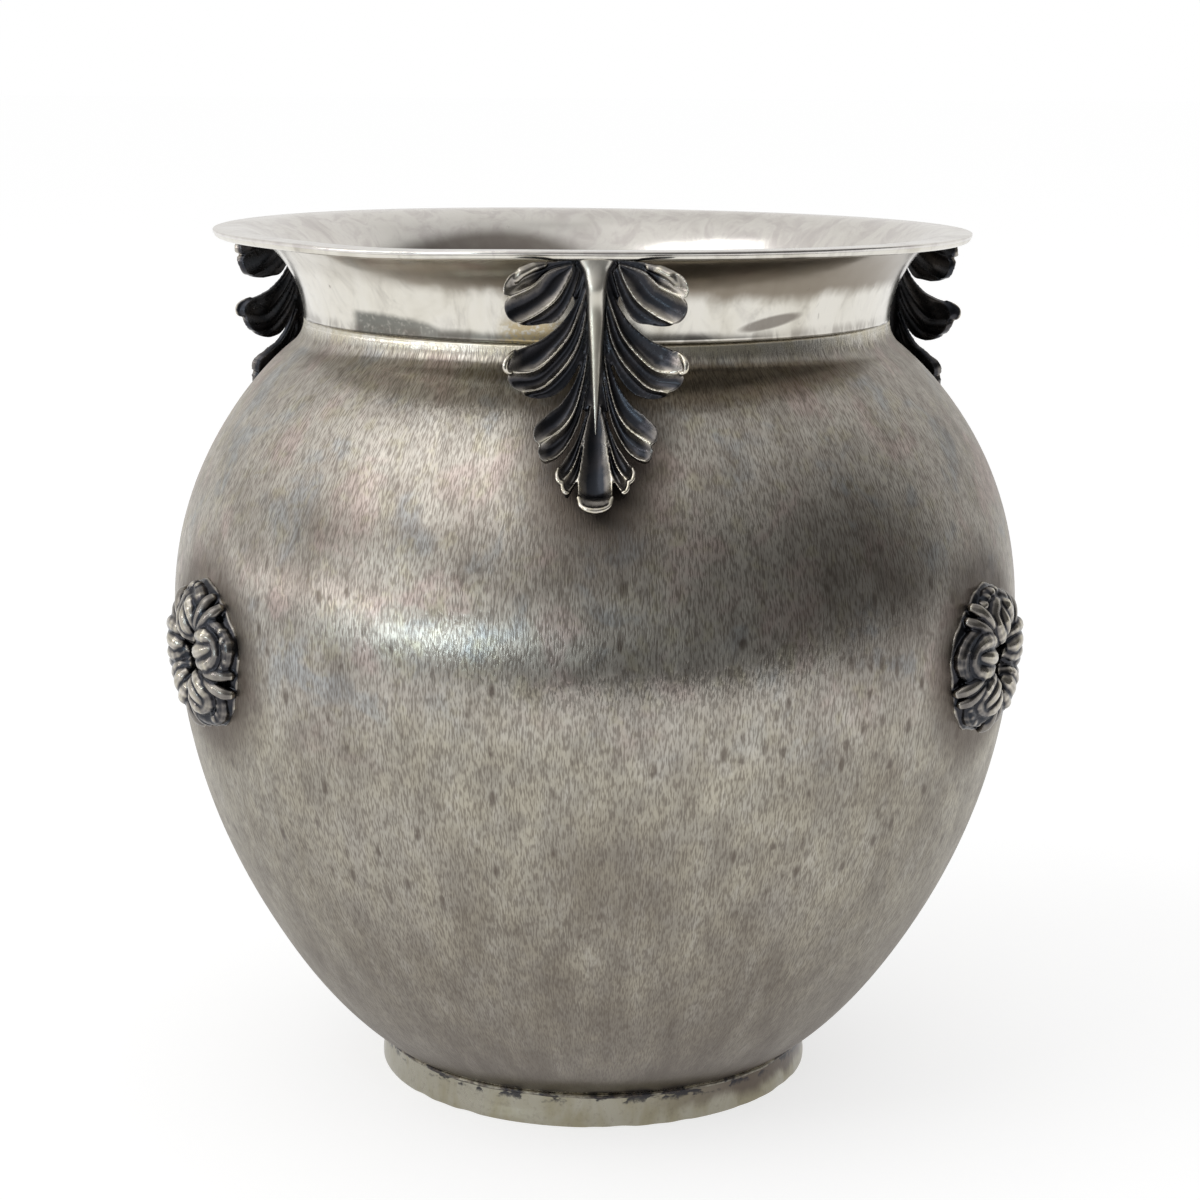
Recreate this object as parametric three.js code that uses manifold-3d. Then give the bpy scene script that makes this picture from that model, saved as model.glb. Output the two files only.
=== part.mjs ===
// A globular silver vase with a trumpet neck, three cast acanthus leaves that stand off the neck like
// handles, three cast rosettes on the belly and a strip foot. Millimetres, +Z up, front towards -Y.
// The origin is on the axis, on the table.
import * as THREE from 'three';
import { mergeVertices } from 'three/addons/utils/BufferGeometryUtils.js';
import Module from 'manifold-3d';

const wasm = await Module();
wasm.setup();

// Body: raised from one sheet, with its base a little above the table
const WALL = 1.0;
const BASE_CLEARANCE = 5;
const BASE_FLAT_RADIUS = 49.4;
const BELLY_RADIUS = 118.6;
const BELLY_HEIGHT = 134.2;
const SHOULDER_DROP = 7.4; // below the neck seam
const SHOULDER_SPREAD = 3.45; // outside the neck
const SHOULDER_SLOPE = 38; // degrees above level, where the shoulder meets the neck

// Neck and rim: one spun piece with a flat edge
const NECK_RADIUS = 81.15;
const SEAM_HEIGHT = 215.2;
const NECK_RISE = 24.8; // from the seam to the top of the rim, 240 above the table
const RIM_RADIUS = 104.4;
const RIM_PLATE = 1.0;
const RIM_FLAT = 5;
const WIRE_WIDTH = 3.0;
const WIRE_HEIGHT = 1.3;

// Foot: a strip bent round and soldered under the body
const FOOT_RADIUS = 61.2;
const FOOT_WALL = 1.8;
const FOOT_SWELL = 0.5; // how far the lower edge stands out
const FOOT_GAP = 0.1; // solder line to the body

// Ornament
const COUNT = 3; // leaves, and rosettes between them
const SEAT_GAP = 0.3; // solder line between a casting and what carries it
const LEAF_LENGTH = 58.6;
const LEAF_HALF_WIDTH = 21.5;
const LEAF_METAL = 1.8;
const LEAF_CURL = 9; // how far the side lobes roll outwards
const LEAF_TIP_STANDOFF = 4.6;
const RIDGE = 1.5; // height of a ridge above its trough
const SCALLOP_REACH = 2.1; // how far a trough's round end runs past its ridges
const WEB_HALF_WIDTH = 3;
const WEB_DEPTH = 2.2;
const WEB_FOOT = 7; // its depth where it stands on the shoulder
const WEB_FRONT = -0.4; // behind the leaf's face
const VEIN_SEAT = -0.5; // the same way
const VEIN_LENGTH = 40;
const VEIN_HALF_WIDTH = 1.7;
const VEIN_HEIGHT = 2.0;
const ROSETTE_RADIUS = 20.5;
const ROSETTE_HEIGHT = 131;
const ROSETTE_RELIEF = 9.5;
const ROSETTE_ROOT = 3; // how far the relief runs on below the belly before it is cut to it
const PETALS = 5;
const FINGERS_PER_PETAL = 3;
const FURROW = 1.6; // between two fingers
const SCALLOP = 0.08; // how far the outline comes in between them, as a share
const SWIRL = 0.35; // radians from middle to edge

const AROUND = 48; // facets round the axis, a multiple of twice COUNT so that every seat lies alike

const material = (name, colour, roughness) =>
  new THREE.MeshStandardMaterial({ name, color: colour, roughness, metalness: 1 });
const satinSilver = material('satin_silver', 0x9c948a, 0.45);
const polishedSilver = material('polished_silver', 0xcfc9b8, 0.2);
const oxidisedSilver = material('oxidised_silver', 0x4a494c, 0.4);

const point = (r, z) => new THREE.Vector2(r, z);

// Revolve a closed profile of radius and height about +Z; the first facet corner faces the front.
function revolve(profile) {
  return new THREE.LatheGeometry(profile, AROUND).rotateX(Math.PI / 2);
}

function solidFrom(geometry) {
  const bare = geometry.clone();
  bare.deleteAttribute('normal');
  bare.deleteAttribute('uv');
  const merged = mergeVertices(bare, 1e-4);
  return new wasm.Manifold(new wasm.Mesh({
    numProp: 3,
    vertProperties: merged.attributes.position.array,
    triVerts: new Uint32Array(merged.index.array),
  }));
}

function geometryFrom(solid) {
  const { vertProperties, triVerts } = solid.getMesh();
  const geometry = new THREE.BufferGeometry();
  geometry.setAttribute('position', new THREE.BufferAttribute(vertProperties, 3));
  geometry.setIndex(new THREE.BufferAttribute(triVerts, 1));
  geometry.computeVertexNormals();
  return geometry;
}

const join = (solids) => solids.reduce((whole, next) => whole.add(next));

// A closed body through rings of equal point count, each end closed by a fan from its middle.
function loft(rings) {
  const n = rings[0].length;
  const middle = (ring) =>
    ring.reduce((sum, p) => sum.clone().add(p), new THREE.Vector3()).divideScalar(n);
  const points = [...rings.flat(), middle(rings[0]), middle(rings.at(-1))];
  const index = [];
  const first = rings.length * n;
  const last = first + 1;
  for (let j = 0; j < n; j++) {
    const k = (j + 1) % n;
    for (let i = 0; i + 1 < rings.length; i++) {
      const [a, b, c, d] = [i * n + j, i * n + k, (i + 1) * n + k, (i + 1) * n + j];
      index.push(a, b, c, a, c, d);
    }
    const end = (rings.length - 1) * n;
    index.push(first, k, j, last, end + j, end + k);
  }
  const geometry = new THREE.BufferGeometry().setFromPoints(points);
  geometry.setIndex(index);
  return geometry;
}

// The body's outer line from the flat base to the neck seam, as three smooth stretches.
const shoulderAngle = THREE.MathUtils.degToRad(SHOULDER_SLOPE);
const shoulder = point(NECK_RADIUS + SHOULDER_SPREAD, SEAM_HEIGHT - SHOULDER_DROP);
const inwardUp = point(-Math.cos(shoulderAngle), Math.sin(shoulderAngle));
const bellyRise = BELLY_HEIGHT - BASE_CLEARANCE;
const shoulderRise = shoulder.y - BELLY_HEIGHT;
const bowl = new THREE.CubicBezierCurve(
  point(BASE_FLAT_RADIUS, BASE_CLEARANCE),
  point(BASE_FLAT_RADIUS + 0.285 * (BELLY_RADIUS - BASE_FLAT_RADIUS), BASE_CLEARANCE),
  point(BELLY_RADIUS, BELLY_HEIGHT - 0.548 * bellyRise),
  point(BELLY_RADIUS, BELLY_HEIGHT),
);
const dome = new THREE.CubicBezierCurve(
  point(BELLY_RADIUS, BELLY_HEIGHT),
  point(BELLY_RADIUS, BELLY_HEIGHT + 0.552 * shoulderRise),
  shoulder.clone().addScaledVector(inwardUp, -0.181 * shoulderRise),
  shoulder,
);
const throat = new THREE.CubicBezierCurve(
  shoulder,
  shoulder.clone().addScaledVector(inwardUp, 0.26 * SHOULDER_DROP),
  point(NECK_RADIUS, SEAM_HEIGHT - 0.52 * SHOULDER_DROP),
  point(NECK_RADIUS, SEAM_HEIGHT),
);

// Points along joined curves, each moved square to the line by inset (inwards where positive).
function sample(curves, counts, inset = 0) {
  const points = [];
  curves.forEach((curve, c) => {
    for (let i = c ? 1 : 0; i <= counts[c]; i++) {
      const t = i / counts[c];
      const along = curve.getTangent(t);
      points.push(curve.getPoint(t).add(point(-along.y * inset, along.x * inset)));
    }
  });
  return points;
}

const bodyCurves = [bowl, dome, throat];
const OUTSIDE_STEPS = [10, 7, 3];
const INSIDE_STEPS = [7, 5, 2];
const bodyLine = sample(bodyCurves, OUTSIDE_STEPS);

// The height of the body's outer line below the belly at a given radius, and its radius at a given height.
function heightAtRadius(r) {
  const k = bodyLine.findIndex((p) => p.x >= r);
  return THREE.MathUtils.mapLinear(r, bodyLine[k - 1].x, bodyLine[k].x, bodyLine[k - 1].y, bodyLine[k].y);
}

function radiusAtHeight(z) {
  const k = bodyLine.findIndex((p) => p.y > z);
  return THREE.MathUtils.mapLinear(z, bodyLine[k - 1].y, bodyLine[k].y, bodyLine[k - 1].x, bodyLine[k].x);
}

function bodyShell() {
  const inside = sample(bodyCurves, INSIDE_STEPS, WALL).reverse();
  return revolve([point(0, BASE_CLEARANCE), ...bodyLine, ...inside, point(0, BASE_CLEARANCE + WALL)]);
}

// What a casting's back is cut to: the body, grown by the solder line.
function bodySeat() {
  const outside = sample(bodyCurves, OUTSIDE_STEPS, -SEAT_GAP);
  return solidFrom(revolve([point(0, BASE_CLEARANCE - SEAT_GAP), ...outside, point(0, SEAM_HEIGHT)]));
}

// The neck flares like a trumpet bell into the flat edge of the rim.
const height = SEAM_HEIGHT + NECK_RISE;
const flareTop = height - RIM_PLATE;
const flareRadius = RIM_RADIUS - RIM_FLAT;
const flare = new THREE.CubicBezierCurve(
  point(NECK_RADIUS, SEAM_HEIGHT),
  point(NECK_RADIUS, SEAM_HEIGHT + 0.53 * NECK_RISE),
  point(flareRadius - 0.45 * (flareRadius - NECK_RADIUS), flareTop),
  point(flareRadius, flareTop),
);

function neckAndRim() {
  const outside = sample([flare], [8]);
  const inside = sample([flare], [7], RIM_PLATE);
  inside[0].set(NECK_RADIUS - WALL, SEAM_HEIGHT);
  const edge = [point(RIM_RADIUS - RIM_PLATE / 4, flareTop), point(RIM_RADIUS, height - RIM_PLATE / 2),
    point(RIM_RADIUS - RIM_PLATE / 4, height)];
  return revolve([...outside, ...edge, ...inside.reverse(), outside[0].clone()]);
}

// Half-round wire under the rim's edge, its flat side up.
const wireBottom = flareTop - WIRE_HEIGHT;
const wireMiddle = RIM_RADIUS - RIM_PLATE / 4 - WIRE_WIDTH / 2;

function rimWire() {
  const profile = [];
  const steps = 4;
  for (let i = 0; i <= steps; i++) {
    const turn = Math.PI * (1 + i / steps);
    profile.push(point(wireMiddle + WIRE_WIDTH / 2 * Math.cos(turn), flareTop + WIRE_HEIGHT * Math.sin(turn)));
  }
  profile[0].y = profile[steps].y = flareTop;
  return revolve([...profile, profile[0].clone()]);
}

// The foot strip's top edge is bevelled to the body that it carries.
function footRing() {
  const inner = FOOT_RADIUS - FOOT_WALL;
  const waist = heightAtRadius(FOOT_RADIUS) / 2;
  return revolve([
    point(inner, 0), point(FOOT_RADIUS + FOOT_SWELL, 0), point(FOOT_RADIUS + FOOT_SWELL, waist / 4),
    point(FOOT_RADIUS, waist), point(FOOT_RADIUS, heightAtRadius(FOOT_RADIUS) - FOOT_GAP),
    point(inner, heightAtRadius(inner) - FOOT_GAP), point(inner, 0),
  ]);
}

// Leaf: laid out flat by how far across (u), how far down (v) and how far out (w), then bent to the spine,
// which drops from under the rim wire, stands off the neck and ends over the shoulder.
const leafTop = wireBottom - SEAT_GAP;
const leafRadius = wireMiddle - 1;
const tipHeight = leafTop - LEAF_LENGTH;
const tipRadius = radiusAtHeight(tipHeight) + LEAF_TIP_STANDOFF;
const spine = new THREE.CubicBezierCurve(
  point(leafRadius, leafTop),
  point(leafRadius, leafTop - 0.55 * LEAF_LENGTH),
  point(tipRadius - 0.15 * LEAF_LENGTH, tipHeight + 0.17 * LEAF_LENGTH),
  point(tipRadius, tipHeight),
);

function onLeaf(u, v, w) {
  let [low, high] = [0, 1];
  for (let i = 0; i < 24; i++) {
    const t = (low + high) / 2;
    if (spine.getPoint(t).y > leafTop - v) low = t;
    else high = t;
  }
  const along = spine.getTangent(low);
  const out = w + LEAF_CURL * (u / LEAF_HALF_WIDTH) ** 2 * (1 - 0.45 * v / LEAF_LENGTH);
  const bent = spine.getPoint(low).add(point(-along.y * out, along.x * out));
  return new THREE.Vector3(u, -bent.x, bent.y);
}

// The lobes of the right half, from the top down, each fluted with troughs between sharp ridges. Their edges
// start beside the vein. They are given as percentages of the leaf's half width, across from its middle, and
// of its length, down from its top.
const LOBES = [
  {
    upper: [[11.2, 2], [39.5, 2.7], [87.4, 8.2]],
    lower: [[10.7, 6.8], [24.2, 16.7], [43.7, 24.6], [71.6, 27]],
    troughs: 3, lift: 1.2,
  },
  {
    upper: [[10.2, 8.5], [25.6, 17.9], [44.7, 27.6], [63.3, 35.2], [87.4, 39.6]],
    lower: [[8.4, 20.5], [15.3, 31.7], [25.1, 41], [44.2, 49.8], [70.7, 54.6]],
    troughs: 2, lift: 1.4,
  },
  {
    upper: [[8.4, 20.5], [16.7, 34.1], [28.8, 47.8], [42.8, 58.4], [62.3, 67.2]],
    lower: [[6.5, 41], [11.2, 56.3], [18.6, 68.3], [29.8, 76.5], [45.6, 80.9]],
    troughs: 2, lift: 1.2,
  },
  {
    upper: [[6.5, 44.4], [13, 59.7], [21.4, 72.5], [29.8, 79.5], [38.6, 84.3]],
    lower: [[4.7, 61.4], [7.4, 75.1], [13, 84.5], [18.6, 89.6], [26.5, 92.8]],
    troughs: 1, lift: 0.9,
  },
];
const TERMINAL = {
  upper: [[5.6, 61.4], [11.2, 78.5], [16.7, 88.7], [17.2, 95.2]],
  lower: [[-5.6, 61.4], [-11.2, 78.5], [-16.7, 88.7], [-17.2, 95.2]],
  troughs: 1, lift: 1.6,
};
const LOBE_STATIONS = [0, 0.3, 0.6, 0.85, 1];

// A lobe between its two edges. The troughs run on past the ridges at the end and give it its scallops.
// Side -1 makes the mirror image.
function lobe({ upper, lower, troughs, lift }, side = 1) {
  const edges = [upper, lower].map((edge) => new THREE.SplineCurve(
    edge.map(([u, v]) => point(u / 100 * LEAF_HALF_WIDTH, v / 100 * LEAF_LENGTH))));
  const rings = LOBE_STATIONS.map((t) => {
    const [from, to] = edges.map((edge) => edge.getPoint(t));
    const outwards = edges[0].getTangent(t).add(edges[1].getTangent(t)).normalize();
    const place = (share, w, reach) => {
      const at = from.clone().lerp(to, share).addScaledVector(outwards, reach);
      return onLeaf(side * at.x, at.y, w + lift * t * t);
    };
    const ridge = RIDGE * Math.min(1, 0.35 + t);
    const ring = [];
    for (let i = 0; i <= 2 * troughs; i++) {
      ring.push(i % 2 ? place(i / troughs / 2, 0, SCALLOP_REACH * t ** 4) : place(i / troughs / 2, ridge, 0));
    }
    ring.push(place(0.92, -LEAF_METAL, 0), place(0.08, -LEAF_METAL, 0));
    return side > 0 ? ring : ring.reverse();
  });
  return solidFrom(loft(rings));
}

// How the vein narrows and sinks on its way down: shares of its length, of its width and of its height.
const VEIN_TAPER = [[0, 1.35, 1], [0.07, 1.03, 0.96], [0.25, 0.84, 0.86], [0.62, 0.45, 0.66], [1, 0.1, 0.45]];

function sweepDown(section) {
  return solidFrom(loft(VEIN_TAPER.map(([down, wide, high]) =>
    section(VEIN_HALF_WIDTH * wide, VEIN_HEIGHT * high).map(([u, w]) => onLeaf(u, down * VEIN_LENGTH, w)))));
}

function leafVein() {
  const eaves = 0.4;
  return sweepDown((half, top) =>
    [[half, VEIN_SEAT], [half, top * eaves], [0, top], [-half, top * eaves], [-half, VEIN_SEAT]]);
}

// The channel that the vein lies in, open to the front and the top.
function veinChannel() {
  const bottom = VEIN_SEAT - SEAT_GAP;
  const front = 3 * LEAF_CURL;
  return sweepDown((half) => [[1, bottom], [1, front], [-1, front], [-1, bottom]].map(([side, w]) =>
    [side * (half + SEAT_GAP), w]));
}

// The web behind the vein ties both halves together; low down it has a foot, which reaches the shoulder.
function leafWeb() {
  const stations = [[0, WEB_DEPTH], [0.61, WEB_DEPTH], [0.73, WEB_FOOT], [0.87, WEB_FOOT], [0.93, WEB_DEPTH]];
  return solidFrom(loft(stations.map(([down, deep]) =>
    [[1, -deep], [1, WEB_FRONT], [-1, WEB_FRONT], [-1, -deep]].map(([side, w]) =>
      onLeaf(side * WEB_HALF_WIDTH, down * LEAF_LENGTH, w)))));
}

function leafAndVein() {
  const lobes = [1, -1].flatMap((side) => LOBES.map((shape) => lobe(shape, side)));
  const whole = join([leafWeb(), lobe(TERMINAL), ...lobes]);
  return [whole.subtract(veinChannel()).subtract(bodySeat()), leafVein()].map(geometryFrom);
}

// Rosette: a relief laid out flat by angle and by share of the radius, then bent round the belly.
const rosetteSeat = radiusAtHeight(ROSETTE_HEIGHT);

function onRosette(angle, radius, w) {
  const sag = radius * radius / (2 * rosetteSeat);
  return new THREE.Vector3(
    radius * Math.cos(angle), -(rosetteSeat + w - sag), ROSETTE_HEIGHT + radius * Math.sin(angle));
}

// The relief rises from a hollow to a ring of turned-over tips, dips, and rises again to the petals, which
// stand between the tips. Each petal has a furrow on either side and fingers within; all lean with the swirl.
const swirled = (angle, share) => angle - SWIRL * share;

function petalRelief(angle, share) {
  const petal = Math.abs(Math.cos(swirled(angle, share) * PETALS / 2)) ** 0.7;
  const tip = Math.abs(Math.sin(swirled(angle, share) * PETALS / 2)) ** 0.7;
  const finger = 0.5 - 0.5 * Math.cos(swirled(angle, share) * PETALS * FINGERS_PER_PETAL);
  const inner = tip * Math.exp(-(((share - 0.4) / 0.16) ** 2));
  const outer = (0.45 + 0.4 * petal) * Math.sin(Math.PI * Math.min(1, 0.9 * share ** 1.4));
  return ROSETTE_RELIEF * Math.max(0.3 * (1 - share), inner, outer) - FURROW * share * finger;
}

function rosette() {
  const around = PETALS * FINGERS_PER_PETAL * 3;
  const ring = (share, relief) => Array.from({ length: around }, (_, i) => {
    const angle = 2 * Math.PI * i / around;
    const notch = 0.5 - 0.5 * Math.cos(swirled(angle, share) * PETALS * FINGERS_PER_PETAL);
    return onRosette(angle, ROSETTE_RADIUS * share * (1 - SCALLOP * share * notch), relief(angle, share));
  });
  const front = [1, 0.92, 0.76, 0.58, 0.44, 0.28, 0.12].map((share) => ring(share, petalRelief));
  const root = ring(1, () => -ROSETTE_ROOT);
  return geometryFrom(solidFrom(loft([root, ...front])).subtract(bodySeat()));
}

const vase = new THREE.Group();

function add(parent, name, geometry, finish) {
  const mesh = new THREE.Mesh(geometry, finish);
  mesh.name = name;
  parent.add(mesh);
}

add(vase, 'body_shell', bodyShell(), satinSilver);
add(vase, 'neck_and_rim', neckAndRim(), polishedSilver);
add(vase, 'rim_wire', rimWire(), polishedSilver);
add(vase, 'foot_ring', footRing(), polishedSilver);

const [leafGeometry, veinGeometry] = leafAndVein();
const rosetteGeometry = rosette();
for (let i = 0; i < COUNT; i++) {
  const turn = new THREE.Group();
  turn.rotation.z = 2 * Math.PI * i / COUNT;
  add(turn, `acanthus_leaf_${i + 1}`, leafGeometry, oxidisedSilver);
  add(turn, `leaf_vein_${i + 1}`, veinGeometry, polishedSilver);
  const between = new THREE.Group();
  between.rotation.z = 2 * Math.PI * (i + 0.5) / COUNT;
  add(between, `rosette_${i + 1}`, rosetteGeometry, oxidisedSilver);
  vase.add(turn, between);
}

export default vase;
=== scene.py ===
import math

import bpy
import numpy as np
from mathutils import Matrix, Vector
from mathutils.kdtree import KDTree


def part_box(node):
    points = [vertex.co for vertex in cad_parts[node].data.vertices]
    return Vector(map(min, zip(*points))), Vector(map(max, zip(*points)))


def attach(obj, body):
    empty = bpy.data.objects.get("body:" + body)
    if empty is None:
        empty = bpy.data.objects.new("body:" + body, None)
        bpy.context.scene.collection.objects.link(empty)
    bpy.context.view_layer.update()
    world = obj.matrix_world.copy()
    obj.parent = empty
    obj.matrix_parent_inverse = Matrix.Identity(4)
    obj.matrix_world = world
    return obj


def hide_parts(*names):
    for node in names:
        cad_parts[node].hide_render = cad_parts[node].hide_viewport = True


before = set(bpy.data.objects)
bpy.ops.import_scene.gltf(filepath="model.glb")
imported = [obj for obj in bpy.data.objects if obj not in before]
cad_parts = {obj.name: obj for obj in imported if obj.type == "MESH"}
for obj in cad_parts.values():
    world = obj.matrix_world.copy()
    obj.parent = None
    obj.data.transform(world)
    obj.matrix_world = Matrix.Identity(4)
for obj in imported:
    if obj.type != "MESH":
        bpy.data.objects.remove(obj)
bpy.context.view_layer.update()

# Shapes are worked out in millimetres and scaled to metres when a mesh is made.
MM = 0.001

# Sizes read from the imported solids.
BODY_LOW, BODY_HIGH = [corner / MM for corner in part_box("body_shell")]
NECK_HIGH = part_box("neck_and_rim")[1] / MM
WIRE_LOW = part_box("rim_wire")[0] / MM
FOOT_LOW, FOOT_HIGH = [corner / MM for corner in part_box("foot_ring")]
LEAF_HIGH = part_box("acanthus_leaf_1")[1] / MM
ROSETTE_LOW, ROSETTE_HIGH = [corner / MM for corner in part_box("rosette_2")]

TABLE = FOOT_LOW.z
BASE_HEIGHT = BODY_LOW.z
BELLY_RADIUS = BODY_HIGH.x
SEAM_HEIGHT = BODY_HIGH.z
RIM_TOP = NECK_HIGH.z
RIM_RADIUS = NECK_HIGH.x
ROSETTE_HEIGHT = (ROSETTE_LOW.z + ROSETTE_HIGH.z) / 2

# Sizes that the solids' boxes don't show.
WALL = 1.0
BASE_FLAT_RADIUS = 49.4
BELLY_HEIGHT = 134.2
NECK_RADIUS = 81.15
SHOULDER_DROP = 7.4
SHOULDER_SPREAD = 3.45
SHOULDER_SLOPE = math.radians(38)
RIM_PLATE = 1.0
RIM_FLAT = 5
WIRE_WIDTH = 3.0
FOOT_RADIUS = 61.2
FOOT_WALL = 1.8
SEAM_AT_FOOT = 8.7
COUNT = 3
LEAF_LENGTH = 58.6
LEAF_HALF_WIDTH = 21.5
LEAF_METAL = 1.5
LEAF_CURL = 5
LEAF_TIP_STANDOFF = 4.6
ROSETTE_RADIUS = 20.5
# How far castings sink into the body's wall, past its dents and short of its inside.
SUNK = 0.72

AROUND = 384
FINE_VOXEL = 0.27
VOXEL = FINE_VOXEL
TUBE_SIDES = 12


def placed(name, data):
    """A new object in the scene."""
    thing = bpy.data.objects.new(name, data)
    bpy.context.scene.collection.objects.link(thing)
    return thing


def mesh_object(name, vertices, faces, smooth=True):
    """A mesh object from vertices in millimetres."""
    mesh = bpy.data.meshes.new(name)
    mesh.from_pydata((np.asarray(vertices) * MM).tolist(), [], [list(map(int, f)) for f in faces])
    mesh.polygons.foreach_set("use_smooth", [smooth] * len(mesh.polygons))
    mesh.update()
    return placed(name, mesh)


def store(mesh, name, values):
    """Keep a number for each vertex, for the materials to read."""
    attribute = mesh.attributes.new(name, "FLOAT", "POINT")
    attribute.data.foreach_set("value", np.array(values, np.float32))


def read(elements, field, width, kind=float):
    """A field of all of a mesh's vertices or edges, in rows."""
    values = np.zeros(len(elements) * width, kind)
    elements.foreach_get(field, values)
    return values.reshape(-1, width)


def full_turn(count):
    """Angles spread evenly round a circle."""
    return np.arange(count) * 2 * math.pi / count


def squarish(values, power):
    """Sines or cosines pushed outwards, the more the smaller the power."""
    return np.sign(values) * np.abs(values) ** power


def smoothstep(low, high, x):
    t = np.clip((x - low) / (high - low), 0, 1)
    return t * t * (3 - 2 * t)


def directions(line):
    """Unit vectors along a line of points."""
    along = np.gradient(line, axis=0)
    return along / np.linalg.norm(along, axis=1)[:, None]


def inset(line, distance):
    """The line moved square to itself, to its left as it runs."""
    return line + distance * directions(line)[:, ::-1] * (-1, 1)


def bezier(points, steps):
    """Points on a cubic Bezier curve."""
    a, b, c, d = [np.array(p, float) for p in points]
    t = np.linspace(0, 1, steps + 1)[:, None]
    return a * (1 - t) ** 3 + 3 * b * t * (1 - t) ** 2 + 3 * c * t ** 2 * (1 - t) + d * t ** 3


def spline(points, steps):
    """A smooth curve through points (Catmull-Rom, evenly spaced in parameter)."""
    p = np.array(points, float)
    p = np.vstack([2 * p[0] - p[1], p, 2 * p[-1] - p[-2]])
    spans = len(p) - 3
    t = np.linspace(0, spans, steps)
    i = np.minimum(t.astype(int), spans - 1)
    f = (t - i)[:, None]
    a, b, c, d = p[i], p[i + 1], p[i + 2], p[i + 3]
    bent, twisted = 2 * a - 5 * b + 4 * c - d, 3 * b - a - 3 * c + d
    return 0.5 * (2 * b + (c - a) * f + bent * f ** 2 + twisted * f ** 3)


def soften(profile, radius, sharpest=25):
    """A closed profile whose corners that turn by more than sharpest, in degrees, are rounded."""
    out = []
    for before, here, after in zip(np.roll(profile, 1, 0), profile, np.roll(profile, -1, 0)):
        back, ahead = before - here, after - here
        back_length, ahead_length = np.linalg.norm(back), np.linalg.norm(ahead)
        bend = 180 - math.degrees(math.acos(np.clip(back @ ahead / (back_length * ahead_length), -1, 1)))
        if bend < sharpest:
            out.append(here)
            continue
        cut = min(radius, 0.45 * back_length, 0.45 * ahead_length)
        start, end = here + back / back_length * cut, here + ahead / ahead_length * cut
        for t in (0, 0.25, 0.5, 0.75, 1):
            out.append((1 - t) ** 2 * start + 2 * t * (1 - t) * here + t ** 2 * end)
    return np.array(out)


def band(low, high):
    """The faces between two rings of vertex numbers, of which one may be a single point."""
    low_next, high_next = low[1:] + low[:1], high[1:] + high[:1]
    if len(low) == 1:
        return [(low[0], b, a) for a, b in zip(high, high_next)]
    if len(high) == 1:
        return [(high[0], a, b) for a, b in zip(low, low_next)]
    return list(zip(low, low_next, high_next, high))


def lathe(name, profile, wobble, inner_from=math.inf):
    """A solid of revolution from a closed profile of radius and height, run with the metal on its left.

    Its attribute "along" is the length along the profile. wobble(angles, radii, heights) moves a ring's
    points a little. Faces from profile point inner_from on take the second material.
    """
    steps = np.linalg.norm(np.diff(profile, axis=0), axis=1)
    angles = full_turn(AROUND)
    vertices, along, rings = [], [], []
    for (radius, height), travelled in zip(profile, np.concatenate([[0], np.cumsum(steps)])):
        if radius == 0:
            ring = [(0, 0, height)]
        else:
            r, z = wobble(angles, np.full(AROUND, radius), np.full(AROUND, height))
            ring = list(zip(r * np.sin(angles), -r * np.cos(angles), z))
        rings.append(list(range(len(vertices), len(vertices) + len(ring))))
        vertices += ring
        along += [travelled] * len(ring)
    pairs = list(zip(rings, rings[1:]))
    if profile[0][0] > 0:
        pairs.append((rings[-1], rings[0]))
    faces, inner = [], []
    for i, (low, high) in enumerate(pairs):
        faces += band(low, high)
        inner += [int(i >= inner_from)] * AROUND
    thing = mesh_object(name, vertices, faces)
    store(thing.data, "along", along)
    thing.data.polygons.foreach_set("material_index", inner)
    return thing


def loft_shell(rings, ends=None):
    """A closed shell through rings of equal point count, closed to a point at each end."""
    if ends is None:
        ends = [np.mean(rings[0], axis=0), np.mean(rings[-1], axis=0)]
    total = len(rings) * len(rings[0])
    numbers = np.arange(total).reshape(len(rings), -1).tolist()
    faces = []
    for low, high in zip(numbers, numbers[1:]):
        faces += band(low, high)
    for pair in zip(band([total], numbers[0]), band(numbers[-1], [total + 1])):
        faces += pair
    return np.vstack([*rings, *ends]), faces


def tube_shell(path, radii, flatten=1.0, up=(0.0, 0.0, 1.0)):
    """A closed tapered tube along a path, flattened along up."""
    along = directions(path)
    side = np.cross(along, up)
    side /= np.maximum(np.linalg.norm(side, axis=1), 1e-6)[:, None]
    over = np.cross(side, along)
    turn = full_turn(TUBE_SIDES)
    rings = []
    for p, s, o, r in zip(path, side, over, radii):
        rings.append(p + r * (np.outer(np.cos(turn), s) + flatten * np.outer(np.sin(turn), o)))
    return loft_shell(rings, [path[0] - along[0] * radii[0] * 0.6, path[-1] + along[-1] * radii[-1] * 0.6])


def sheet_shell(front, back):
    """A closed shell between two grids of points, given as arrays of rows, columns and coordinates."""
    rows, columns = front.shape[:2]
    size = rows * columns
    grid = np.arange(size).reshape(rows, columns)
    faces = []
    for a in grid[:-1, :-1].ravel():
        quad = (a, a + 1, a + columns + 1, a + columns)
        faces += [quad, tuple(size + q for q in reversed(quad))]
    rim = [*grid[0], *grid[1:, -1], *grid[-1, -2::-1], *grid[-2:0:-1, 0]]
    for a, b in zip(rim, rim[1:] + rim[:1]):
        faces.append((b, a, size + a, size + b))
    return np.concatenate([front.reshape(-1, 3), back.reshape(-1, 3)]), faces


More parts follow.
